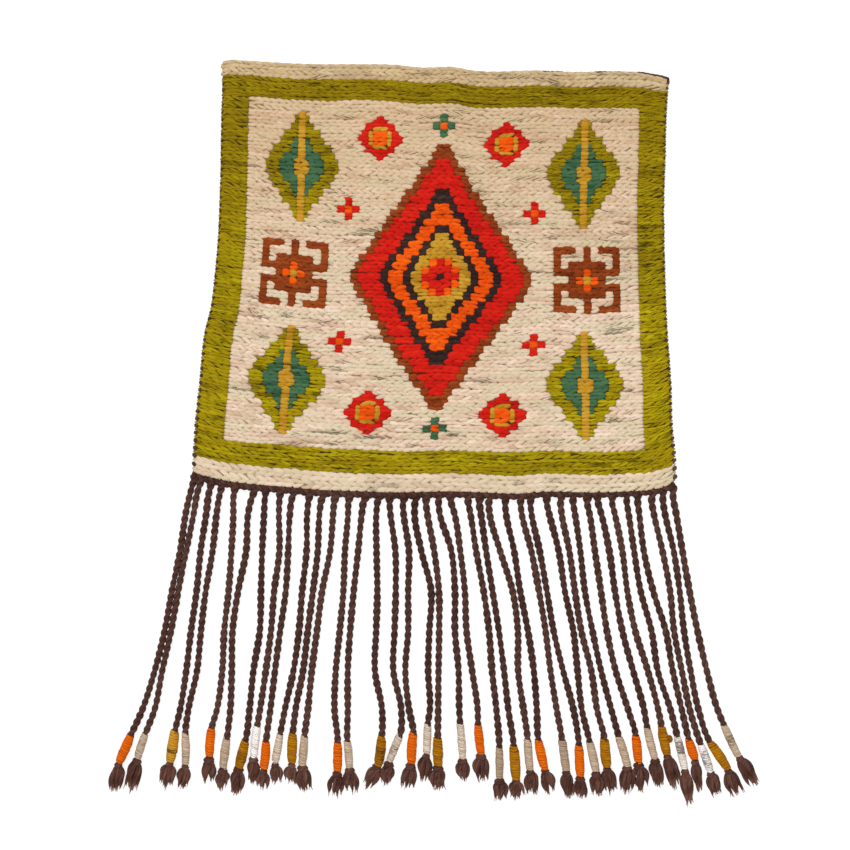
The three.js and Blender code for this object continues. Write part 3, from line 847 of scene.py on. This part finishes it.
def weave():
    """The face and the back of the cloth, one piece for each area of yarn."""
    made = []
    for key, (name, wool) in STITCH_PIECES.items():
        stitches = STITCHES[key]
        if wool is LIME_WOOL:
            smooth = random.uniform(size=len(stitches)) < SMOOTH_LIME
            spread = (-STRANDS_APART, 0, STRANDS_APART)
            batches = [leaves(THIN_LEAF, stitches[~smooth], STRAND, across) for across in spread]
            batches.append(leaves(LEAF, stitches[smooth], STITCH))
        elif wool in (HEADER_WOOL, FIELD_WOOL):
            middle = (stitches["left"] + stitches["right"]) / 2
            grey = natural_at(stitches["row"], middle) > (0 if wool is HEADER_WOOL else 0.12)
            batches = [leaves(LEAF, stitches[~grey], HEADER_STITCH if wool is HEADER_WOOL else STITCH)]
            for across, natural in ((-THREADS_APART / 2, 0.5), (THREADS_APART / 2, 1.4)):
                batches.append(leaves(THIN_LEAF, stitches[grey], THREAD, across, natural))
        else:
            batches = [leaves(LEAF, stitches, FOOT_STITCH if wool is FOOT_WOOL else STITCH)]
        batches.append(leaves(BACK_LEAF, stitches, BACK, back=True))
        if key in TURN_ROWS:
            batches.append(edge_turns(TURN_ROWS[key]))
        made.append(piece_of(name, batches, wool, "woven_panel"))
    return made


def warp_sheet(chart):
    """What shows between the stitches: their own yarn going down in the cream, and warps in the rest, both
    coloured darker as painted shade.
    """
    bm = bmesh.new()
    bmesh.ops.create_grid(bm, x_segments=WARPS, y_segments=ROWS, size=0.5)
    made = bmesh.ops.extrude_face_region(bm, geom=bm.faces)
    raised_corners = [v for v in made["geom"] if isinstance(v, bmesh.types.BMVert)]
    bmesh.ops.translate(bm, verts=raised_corners, vec=(0, 0, 1))
    shape = shape_of(bm)
    x, y, z = shape["places"].T
    inset = WARP_SHEET["inset"]
    warp = np.clip((x + 0.5) * WARPS, inset / WARP_PITCH, WARPS - inset / WARP_PITCH)
    row = (0.5 - y) * ROWS
    down = np.clip(np.interp(row, np.arange(ROWS + 1), ROW_ENDS), inset, CLOTH_HEIGHT - inset)
    level = np.where(z > 0.5, WARP_SHEET["top"], WARP_SHEET["bottom"])
    places = raised(on_cloth(warp, down), level)[None]
    yarn = np.stack([down, warp * WARP_PITCH, level], axis=-1)[None]
    brown = random.uniform(size=len(row)) < HOLES
    coloured = ~np.isin(np.pad(chart, 1, mode="edge"), ("c", "f"))
    row, warp = np.round(row).astype(int), np.round(warp).astype(int)
    brown |= np.all([coloured[row + i, warp + j] for i in (0, 1) for j in (0, 1)], axis=0)
    batch = Batch(shape, places, yarn, 0.9, np.array([0.5]), brown * 1.0)
    return piece_of("warp_sheet", [batch], GAP_SHADE_WOOL, "woven_panel")


# ---- cords, bar and selvedge ----


def raised(line, level):
    """A flat line put at a level, or at a list of levels."""
    return np.concatenate([line, np.broadcast_to(level, len(line))[:, None]], axis=-1)


def skin(shape, spine, wide, beside, tall, above):
    """Places on an oval tube round a spine, from its half width and its half height."""
    ring, angle = shape["ring"], shape["angle"]
    wide, tall = (np.broadcast_to(half, len(spine))[ring] for half in (wide, tall))
    beside, above = (np.broadcast_to(way, spine.shape)[ring] for way in (beside, above))
    return spine[ring] + (wide * np.cos(angle))[:, None] * beside + (tall * np.sin(angle))[:, None] * above


def ply_round(shape, line, radius, offset=0, turn=30, phase=0, squash=1.0):
    """Places, yarn coordinates and crown of one ply that winds round a line. The crown falls on the ply's
    side that faces the line, so that the wool paints shade where plies press together.
    """
    reach = reach_along(line)
    step = unit(np.gradient(line, axis=0))
    beside = unit(np.stack([-step[:, 1], step[:, 0], 0 * step[:, 0]], axis=-1))
    above = np.cross(step, beside)
    above *= np.sign(above[:, 2])[:, None]
    radius = np.broadcast_to(radius, reach.shape)
    twist = np.concatenate([[0], np.cumsum(np.diff(reach) * 2 * math.pi / turn)]) + phase
    across, up = offset * np.cos(twist), offset * np.sin(twist)
    middle = line + across[:, None] * beside + (up * squash)[:, None] * above
    places = skin(shape, middle, radius, beside, radius * squash, above)
    ring, angle = shape["ring"], shape["angle"]
    yarn = yarn_at(reach[ring], radius[ring], angle - reach[ring] * 2 * math.pi / FIBRE_TURN)
    return places, yarn, np.clip(0.5 + 0.5 * np.cos(angle - twist[ring]), 0, 1)


def batch_of(shape, made, tints=None, natural=0.0):
    """A batch from several copies' places, yarn coordinates and crowns, each with its own seed."""
    places, yarn, crown = (np.stack(part) for part in zip(*made))
    seeds = random.uniform(0, 900, len(made))
    yarn[:, :, 0] += seeds[:, None]
    tints = random.uniform(0.2, 0.8, len(made)) if tints is None else tints
    return Batch(shape, places, yarn, crown, tints, natural)


def lumps(count, size, spread):
    """Slow random variation along a hand-made yarn, round 1."""
    knots = random.normal(size=max(4, int(count / spread) + 2))
    return 1 + size * np.interp(np.linspace(0, len(knots) - 1, count), np.arange(len(knots)), knots)


def bar_fullness(steps):
    """How thick the bar is at places along it, round 1."""
    return np.interp(np.linspace(0, 1, steps + 1), *zip(*BAR_FULLNESS))


def bar_line(steps):
    """The bar's axis, just below the cloth's lower edge."""
    way = unit(np.gradient(SIDES["bottom"], axis=0))
    drop = BAR_DROP * bar_fullness(EDGE_STEPS)[:, None]
    below = SIDES["bottom"] + drop * np.stack([way[:, 1], -way[:, 0]], axis=-1)
    return smooth_line(below[:-2], steps)  # it stops just short of the cloth's right corner


def read_cord(row):
    """One row of CORDS as named places."""
    yarn, head, *rest = row
    columns = bar_line(EDGE_STEPS)
    head = head + PART_ORIGIN[0]
    start = np.array([head, np.interp(head, columns[:, 0], columns[:, 1])])
    crossings = [np.array([x, y]) + PART_ORIGIN for x, y in zip(rest[:6], CROSSINGS)]
    wrap_start, wrap_end, tip = (np.array(rest[i : i + 2]) + PART_ORIGIN for i in (6, 8, 10))
    return {
        "yarn": yarn, "start": start, "crossings": crossings, "wrap_start": wrap_start,
        "wrap_end": wrap_end, "tip": tip, "tassel": rest[12],
    }


CORD_RINGS = 120
PLY_TUBE = tube_shape(6, CORD_RINGS)


def cords(rows):
    """The twisted cords, from the bar to inside their wraps."""
    made = []
    for cord in rows:
        into = cord["wrap_start"] + CORD_END["inside"] * (cord["wrap_end"] - cord["wrap_start"])
        head = cord["start"] + (CORD_HEAD["lean"] * random.uniform(0.4, 1.3), 0)
        neck = cord["start"] + 0.5 * (cord["crossings"][0] - cord["start"])
        line = smooth_line([head, neck, *cord["crossings"], cord["wrap_start"], into], CORD_RINGS - 1)
        reach = reach_along(line)
        to_end = reach[-1] - reach
        over_bar = np.clip(1 - reach / CORD_HEAD["length"], 0, 1)
        in_wrap = np.clip(1 - to_end / CORD_END["climb"], 0, 1)
        climb = WRAP_RADIUS[cord["yarn"]] * WRAP_SQUASH - CORD_LEVEL
        level = CORD_LEVEL + CORD_HEAD["rise"] * over_bar**2 + climb * in_wrap
        grow = (1 + CORD_HEAD["fatter"] * over_bar**1.4) * lumps(CORD_RINGS, 0.06, 6)
        grow *= 1 - CORD_END["thinner"] * np.clip(1 - to_end / CORD_END["thin"], 0, 1)
        radius, offset = PLY["radius"] * grow, PLY["offset"] * grow
        phase = random.uniform(0, 2 * math.pi)
        turn = PLY["turn"] * random.uniform(0.93, 1.08)
        for ply in TWO:
            made.append(ply_round(PLY_TUBE, raised(line, level), radius, offset, turn, phase + ply))
    return piece_of("fringe_cords", [batch_of(PLY_TUBE, made)], BROWN_WOOL, "fringe")


BAR_RINGS = 420
BAR_TUBE = tube_shape(6, BAR_RINGS)
WARP_END = leaf_shape((0, 60, 120, 180, 240, 300), (-0.7, 0, 0.7))


def bar():
    """The bar twined along the lower edge, and the warp ends that poke out above it."""
    line = raised(bar_line(BAR_RINGS - 1), BAR_LEVEL)
    full = bar_fullness(BAR_RINGS - 1)
    plies = [
        ply_round(
            BAR_TUBE, line, BAR_PLY["radius"] * full * lumps(BAR_RINGS, 0.06, 6), BAR_PLY["offset"] * full,
            BAR_PLY["turn"], phase, BAR_PLY["squash"],
        )
        for phase in TWO
    ]
    a, angle = WARP_END["along"], WARP_END["angle"]
    full = fullness(WARP_END, 2)
    ends = []
    for spot in np.arange(1.0, WARPS, 2.0) + random.normal(size=WARPS // 2) * 0.15:
        reach, size = random.uniform(2.2, 3.4), random.uniform(1.5, 2.1)
        warp = spot + full * size * np.cos(angle) / WARP_PITCH + 0.12 * a
        flat = on_cloth(warp, CLOTH_HEIGHT - 0.2 + reach * a)
        level = 6.1 + 0.7 * a + full * size * np.sin(angle)
        # Painted shade: an end's crown falls towards its tips.
        ends.append((raised(flat, level), yarn_at(reach * a, size, angle), full))
    batches = [batch_of(BAR_TUBE, plies), batch_of(WARP_END, ends)]
    return piece_of("fringe_bar", batches, BROWN_WOOL, "fringe")


EDGE_RINGS = 240
EDGE_TUBE = tube_shape(5, EDGE_RINGS)


def selvedges():
    """The outermost warps: a brown bead wherever no weft goes round them, fuller lower down."""
    a, angle = TURN["along"], TURN["angle"]
    full = fullness(TURN, 2.6)
    beads, threads = [], []
    for side, first in ((-1, HEADER + 2), (1, 3)):
        for boundary in range(first, ROWS, 2):
            lower = (boundary / ROWS) ** 5
            half = (2.3 + 1.0 * lower) * random.uniform(0.85, 1.1)
            thick = (1.45 + 1.15 * lower) * random.uniform(0.85, 1.1)
            x = side * (0.7 * lower - 1.5) + thick * full * np.cos(angle) + 0.3 * a * random.normal()
            flat = on_edge(side, x, ROW_ENDS[boundary] + half * a)
            level = 7.1 + 0.5 * lower + thick * full * np.sin(angle)
            # Painted shade: a bead's crown falls towards its under side and its ends.
            crown = full * (0.5 + 0.5 * np.sin(angle))
            beads.append((raised(flat, level), yarn_at(half * a, thick, angle), crown))
        down = np.linspace(ROW_ENDS[first] - 2, CLOTH_HEIGHT - 1, EDGE_RINGS)
        line = raised(on_edge(side, np.full(EDGE_RINGS, -2.1 * side), down), 3.5)
        threads.append(ply_round(EDGE_TUBE, line, 1.2, 0.3, 9.0))
    batches = [batch_of(TURN, beads), batch_of(EDGE_TUBE, threads)]
    return piece_of("selvedge_warps", batches, WARP_WOOL, "woven_panel")


ROLL_RINGS = 260
ROLL_TUBE = tube_shape(6, ROLL_RINGS)
LOOSE_END_RINGS = 90
LOOSE_END_TUBE = tube_shape(6, LOOSE_END_RINGS)


def header_roll():
    """The wool rolled over the upper edge."""
    warp = np.linspace(0.5, WARPS - 0.5, ROLL_RINGS)
    line = raised(on_cloth(warp, np.full(ROLL_RINGS, 1.9)), 5.0)
    plies = [
        ply_round(ROLL_TUBE, line, 1.9 * lumps(ROLL_RINGS, 0.06, 5), 0.75, 27.0, phase, 1.1) for phase in TWO
    ]
    return piece_of("header_roll", [batch_of(ROLL_TUBE, plies)], HEADER_WOOL, "woven_panel")


def header_warp_end():
    """The brown end of the first warp, loose along the roll's right part and down round the corner."""
    first, corner = 86, 0.92  # the warp where it starts, and the share of it at which it turns down
    share = np.linspace(0, 1, LOOSE_END_RINGS)
    along, turned = np.minimum(share / corner, 1), np.maximum(share - corner, 0) / (1 - corner)
    warp = first + along * (WARPS - 0.25 - first)
    down = 0.5 + 0.35 * np.sin(share * 41) * (1 - turned) + 1.0 * along**12 + 7 * turned**1.2
    level = 5.5 + 1.1 * np.sin(share * 17 + 0.6) * (1 - along**6) + 1.9 * along**6
    radius = (1.0 + 0.8 * along**8 - 0.3 * turned) * lumps(LOOSE_END_RINGS, 0.12, 4)
    end = ply_round(LOOSE_END_TUBE, raised(on_cloth(warp, down), level), radius, 0.25, 6.0)
    batch = batch_of(LOOSE_END_TUBE, [end])
    return piece_of("header_warp_end", [batch], LOOSE_WOOL, "woven_panel")


# ---- wraps and tassels ----

WINDING_RINGS = 180
WINDING = tube_shape(5, WINDING_RINGS)
SLEEVE = tube_shape(12, len(SLEEVE_SHAPE))
LOOP_RINGS = 16
LOOP = tube_shape(6, LOOP_RINGS)
UP = np.array([0, 0, 1])


def lying(cord, first, last):
    """The directions along and beside a straight stretch of a cord, and its length."""
    length = np.linalg.norm(cord[last] - cord[first])
    way = (cord[last] - cord[first]) / length
    return np.array([*way, 0]), np.array([-way[1], way[0], 0]), length


def wound(cord):
    """The yarn wound round a cord's end, and the sleeve of yarn beneath it."""
    way, beside, length = lying(cord, "wrap_start", "wrap_end")
    radius = WRAP_RADIUS[cord["yarn"]] * random.uniform(0.9, 1.05)
    level = radius * WRAP_SQUASH * 1.02
    share = np.linspace(0, 1, WINDING_RINGS)
    axis = raised(cord["wrap_start"] + share[:, None] * length * way[:2], level)
    axis += (0.5 * random.normal() * np.sin(math.pi * share))[:, None] * beside
    barrel = WRAP_BARREL[cord["yarn"]]
    swell = lumps(WINDING_RINGS, 0.04, 14) * (1.03 - barrel + barrel * np.sin(math.pi * share) ** 0.5)
    pitch = WINDING_PITCH[cord["yarn"]] * random.uniform(0.9, 1.15)
    turns = length / pitch
    twist = 2 * math.pi * turns * share + random.uniform(0, 6) + 0.5 * np.sin(share * 23)
    out = np.cos(twist)[:, None] * beside + WRAP_SQUASH * np.sin(twist)[:, None] * UP
    # A winding lies aslant, by drift, and not quite evenly beside the last one.
    drift = 1.6 * np.cos(twist - 0.6) + 0.25 * np.interp(share, np.linspace(0, 1, 40), random.normal(size=40))
    middle = axis + ((radius - WINDING_THICK) * swell)[:, None] * out + drift[:, None] * way
    places = skin(WINDING, middle, WINDING_THICK, out, pitch * WINDING_WIDE, way)
    along = share * turns * 2 * math.pi * radius
    yarn = yarn_at(along[WINDING["ring"]], 1, WINDING["angle"])
    # Painted shade: a winding's crown falls towards its edges, where it meets the next one.
    winding = places, yarn, np.clip(0.5 + 0.6 * np.cos(WINDING["angle"]), 0, 1)
    inner = np.linspace(0.02, 0.98, len(SLEEVE_SHAPE))
    core = raised(cord["wrap_start"] + inner[:, None] * length * way[:2], level)
    core += np.interp(inner, share, axis @ beside - axis[0] @ beside)[:, None] * beside
    sleeve = ply_round(SLEEVE, core, (radius - SLEEVE_DEPTH) * SLEEVE_SHAPE, squash=WRAP_SQUASH)
    # The sleeve, which shows between the windings, has a crown of 0.5 and so is painted half in shade.
    return winding, (*sleeve[:2], 0.5 + 0 * sleeve[2])


def loop_beside(cord):
    """The end of a wrap's yarn, which sticks out to the right in a small fat loop."""
    way, beside, length = lying(cord, "wrap_start", "wrap_end")
    side = -beside if beside[0] < 0 else beside
    turn = np.linspace(-2.7, 2.4, LOOP_RINGS)
    start = np.array([*(cord["wrap_start"] + 0.48 * length * way[:2]), 5.5])
    middle = start + (WRAP_RADIUS[cord["yarn"]] + 0.5) * side
    line = middle + 0.9 * np.cos(turn)[:, None] * side + 1.9 * np.sin(turn)[:, None] * way
    line[:, 2] += 0.8 * np.sin(turn)
    return ply_round(LOOP, line, 3.1, turn=20)


def wraps(cords_read):
    """One piece of wraps for each colour of yarn."""
    share = WINDING["ring"] / (WINDING_RINGS - 1)
    made = []
    for colour, wool in (("orange", WRAP_ORANGE), ("cream", WRAP_CREAM), ("mustard", WRAP_MUSTARD)):
        numbers = [i for i, cord in enumerate(cords_read, 1) if cord["yarn"] == colour]
        windings, sleeves = zip(*(wound(cords_read[i - 1]) for i in numbers))
        tints = np.array([WRAP_TINTS.get(i, random.uniform(0.42, 0.5)) for i in numbers])
        stretches = np.array([DARK_STRETCHES.get(i, NO_STRETCH) for i in numbers])
        first, last, darkness = stretches.T[..., None]
        natural = darkness * np.clip(1.2 - ((share - (first + last) / 2) / ((last - first) / 2)) ** 2, 0, 1)
        batches = [batch_of(WINDING, windings, tints, natural), batch_of(SLEEVE, sleeves, tints)]
        if LOOPED_WRAP in numbers:
            batches.append(batch_of(LOOP, [loop_beside(cords_read[LOOPED_WRAP - 1])]))
        nodes = [f"wrap_{i:02d}" for i in numbers]
        made.append(piece_of(f"wraps_{colour}", batches, wool, nodes))
    return made


KNOTTED = 0.6  # share of the tassels that hang from a knot
KNOT_RADIUS, NECK_RADIUS = (6.6, 7.5), (5.2, 5.9)
KNOT_ROOM = 15.5  # a knot is smaller where the tassel is narrower than this
KNOT_RINGS = 12
KNOT_STRAND = tube_shape(5, KNOT_RINGS)
KNOT_CORE = leaf_shape(range(0, 360, 45), (-0.8, -0.4, 0, 0.4, 0.8))


def knot_of(cord, long, radius):
    """A fat knot below a wrap: three strands that wind round a core in a slant, and the core."""
    way, beside, _ = lying(cord, "wrap_end", "tip")
    above = 0.82 * UP
    start = np.array([*cord["wrap_end"], 5.0])
    share = np.linspace(0, 1, KNOT_RINGS)
    body = np.sin(math.pi * (0.12 + 0.76 * share)) ** 0.6
    thick = 2.7 * (0.55 + 0.45 * body)
    thick[[0, -1]] *= 0.5
    ring, angle = KNOT_STRAND["ring"], KNOT_STRAND["angle"]
    first = random.uniform(0, 6)
    strands = []
    for phase in THREE:
        twist = 2 * math.pi * 0.7 * share + first + phase
        out = np.cos(twist)[:, None] * beside + np.sin(twist)[:, None] * above
        spine = start + (1 + share * (long - 2.5))[:, None] * way + ((radius - 2.6) * body)[:, None] * out
        side = unit(np.cross(out, np.gradient(spine, axis=0)))
        places = skin(KNOT_STRAND, spine, thick, out, 1.15 * thick, side)
        # Painted shade: a strand's crown falls on its side that faces the core.
        crown = np.clip(0.5 + 0.6 * np.cos(angle), 0, 1)
        strands.append((places, yarn_at(share[ring] * 22, 2, angle), crown))
    a, turn = KNOT_CORE["along"], KNOT_CORE["angle"]
    out = np.cos(turn)[:, None] * beside + np.sin(turn)[:, None] * above
    core = start + (long / 2 + a * (long / 2 + 1))[:, None] * way
    core = core + (fullness(KNOT_CORE, 2) * (radius - 1.4))[:, None] * out
    # The core's crown of 0.4 paints it in shade.
    return strands, (core, yarn_at(a * 5, 3, turn), 0.4 + 0 * a)


# Along a strand: the share of the tassel's width it has reached, how far it lies off its lock's middle,
# and the levels of every other lock. Then how thick a strand and a hair are, ring by ring.
STRAND_SPREAD = np.array([0.35, 0.74, 0.93, 1.0, 1.0, 0.97, 0.95])
STRAND_LOOSE = np.array([1.0, 1.5, 1.6, 1.5, 1.3, 1.0, 0.7])
STRAND_LEVELS = np.array([[3.8, 3.2, 2.9, 2.8, 2.7, 2.6, 2.4], [6.2, 6.5, 6.3, 5.9, 5.4, 4.8, 4.1]])
STRAND_THICK = np.array([1.5, 1.9, 2.1, 2.2, 2.2, 2.1, 1.8, 1.3, 0.35])
HAIR_THICK = np.array([0.5, 0.6, 0.5, 0.2])
HAIR_LEVEL = 4  # no hair starts higher
TASSEL_TUBE = tube_shape(5, len(STRAND_THICK))
HAIR = tube_shape(3, len(HAIR_THICK))


def spread_strands(cord, from_reach):
    """The loose strands below a knot, in ragged locks that come to a point, and the hairs at their tips."""
    way, beside, length = lying(cord, "wrap_end", "tip")
    room = cord["tassel"] / 2 - TASSEL_ROOM
    locks = random.integers(5, 7)
    fan = random.uniform(0.82, 1.08)
    strands, hairs = [], []
    t = np.linspace(0, 1, len(STRAND_SPREAD))
    end_of_cord = np.array([*cord["wrap_end"], 0])
    for n, spot in enumerate(np.linspace(-1, 1, locks) + 0.12 * random.normal(size=locks)):
        end = length * (1.05 - 0.1 * abs(spot)) + 1.7 * random.normal()
        bend = 1.3 * random.normal()
        wave = 0.6 * np.sin(random.uniform(0, 6) + 5.5 * t)
        first = random.uniform(0, 6)
        for phase in THREE:
            reach = from_reach + (end - random.uniform(0, 4) - from_reach) * t
            around = first + phase + 2.6 * t
            across = spot * room * STRAND_SPREAD * (1 + (fan - 1) * t) + bend * t**2 + wave
            across = across + STRAND_LOOSE * np.cos(around) + 0.5 * random.normal() * t**3
            line = end_of_cord + reach[:, None] * way + across[:, None] * beside
            line[:, 2] = STRAND_LEVELS[n % 2] + 0.7 * STRAND_LOOSE * np.sin(around)
            thick = STRAND_THICK * random.uniform(0.88, 1.12)
            strands.append(ply_round(TASSEL_TUBE, smooth_line(line, len(thick) - 1), thick))
            past = random.uniform(1.5, 4.5) * way + random.normal(0, 0.9) * beside
            hair = np.stack([line[4], line[5] + 0.2 * past, line[6] + 0.5 * past, line[6] + past])
            hair[:, 2] = np.minimum(hair[:, 2], HAIR_LEVEL)
            hairs.append(ply_round(HAIR, hair, HAIR_THICK))
    return strands, hairs


def tassels(cords_read):
    """Each cord's end below its wrap: a fat knot or a plain neck, and the loose strands."""
    strands, hairs, knots, cores = [], [], [], []
    for cord in cords_read:
        knotted = random.uniform() < KNOTTED
        long = random.uniform(8.5, 10.5)
        radius = random.uniform(*(KNOT_RADIUS if knotted else NECK_RADIUS))
        if knotted:
            radius *= min(1, cord["tassel"] / KNOT_ROOM)
        wound_strands, core = knot_of(cord, long, radius)
        knots += wound_strands
        cores.append(core)
        loose, stray = spread_strands(cord, long * 0.6)
        strands += loose
        hairs += stray
    # Painted light: the strands turn to the pale colour towards their tips, and the hairs all along, where
    # light shines through them.
    painted_tip_light = np.clip((TASSEL_TUBE["ring"] / (len(STRAND_THICK) - 1) - 0.5) * 2, 0, 1)  # paler toward the tips
    batches = [
        batch_of(TASSEL_TUBE, strands, natural=painted_tip_light), batch_of(HAIR, hairs, natural=1.0),
        batch_of(KNOT_STRAND, knots), batch_of(KNOT_CORE, cores),
    ]
    return piece_of("fringe_tassels", batches, LOOSE_WOOL, "fringe")


# ---- floor, lights and camera ----

FLOOR_HALF = 40  # metres
# Each light's place in metres, the width of its disk, and its power in watts.
LIGHTS = {"window": ((-1.6, 3.4, 4.6), 2.4, 215), "sky": ((0.4, -1.6, 3.2), 2.8, 52)}
# FLOOR_GLOW is the floor's own glow, painted light that fades the rug's shadow on it.
ROOM_LIGHT, FLOOR_GLOW = 0.42, 0.78


def floor():
    """Matt grey paper that glows: painted light, which keeps it white round the rug and makes the rug's
    shadow on it faint.
    """
    bm = bmesh.new()
    bmesh.ops.create_grid(bm, x_segments=1, y_segments=1, size=FLOOR_HALF)
    mesh = bpy.data.meshes.new("floor")
    bm.to_mesh(mesh)
    bm.free()
    material, tree = bare_material("matt grey paper, glowing white")
    shader = node(
        tree, "ShaderNodeBsdfPrincipled",
        {
            "Base Color": linear("#909090"), "Roughness": 0.9,
            "Emission Color": linear("#ffffff"), "Emission Strength": FLOOR_GLOW,
        },
    )
    node(tree, "ShaderNodeOutputMaterial", {"Surface": shader})
    mesh.materials.append(material)
    made = bpy.data.objects.new("floor", mesh)
    bpy.context.scene.collection.objects.link(made)


def studio():
    """Soft light from above the cloth's upper edge, and a camera straight above the rug."""
    floor()
    scene = bpy.context.scene
    middle = (VIEW_CENTRE[0] * MM, VIEW_CENTRE[1] * MM, 0)
    for name, (place, width, power) in LIGHTS.items():
        light = bpy.data.lights.new(name, "AREA")
        light.shape = "DISK"
        light.size = width
        light.energy = power
        lamp = bpy.data.objects.new(name, light)
        lamp.location = place
        lamp.rotation_euler = (Vector(middle) - Vector(place)).to_track_quat("-Z", "Y").to_euler()
        scene.collection.objects.link(lamp)
    scene.world = bpy.data.worlds.new("room")
    scene.world.use_nodes = True
    background = scene.world.node_tree.nodes["Background"].inputs
    background["Color"].default_value = (1, 1, 1, 1)
    background["Strength"].default_value = ROOM_LIGHT
    camera = bpy.data.cameras.new("camera")
    camera.lens = LENS
    camera.sensor_width = SENSOR
    made = bpy.data.objects.new("camera", camera)
    made.location = (*middle[:2], (VIEW_WIDTH * LENS / SENSOR + YARN_LEVEL) * MM)
    scene.collection.objects.link(made)
    scene.camera = made
    scene.view_settings.view_transform = "Standard"


studio()
rows_of_cords = [read_cord(row) for row in CORDS]
on_the_cloth = weave()
on_the_cloth += [selvedges(), header_roll(), header_warp_end(), bar(), cords(rows_of_cords)]
on_the_cloth += [tassels(rows_of_cords), *wraps(rows_of_cords)]
sheet = warp_sheet(CHART)
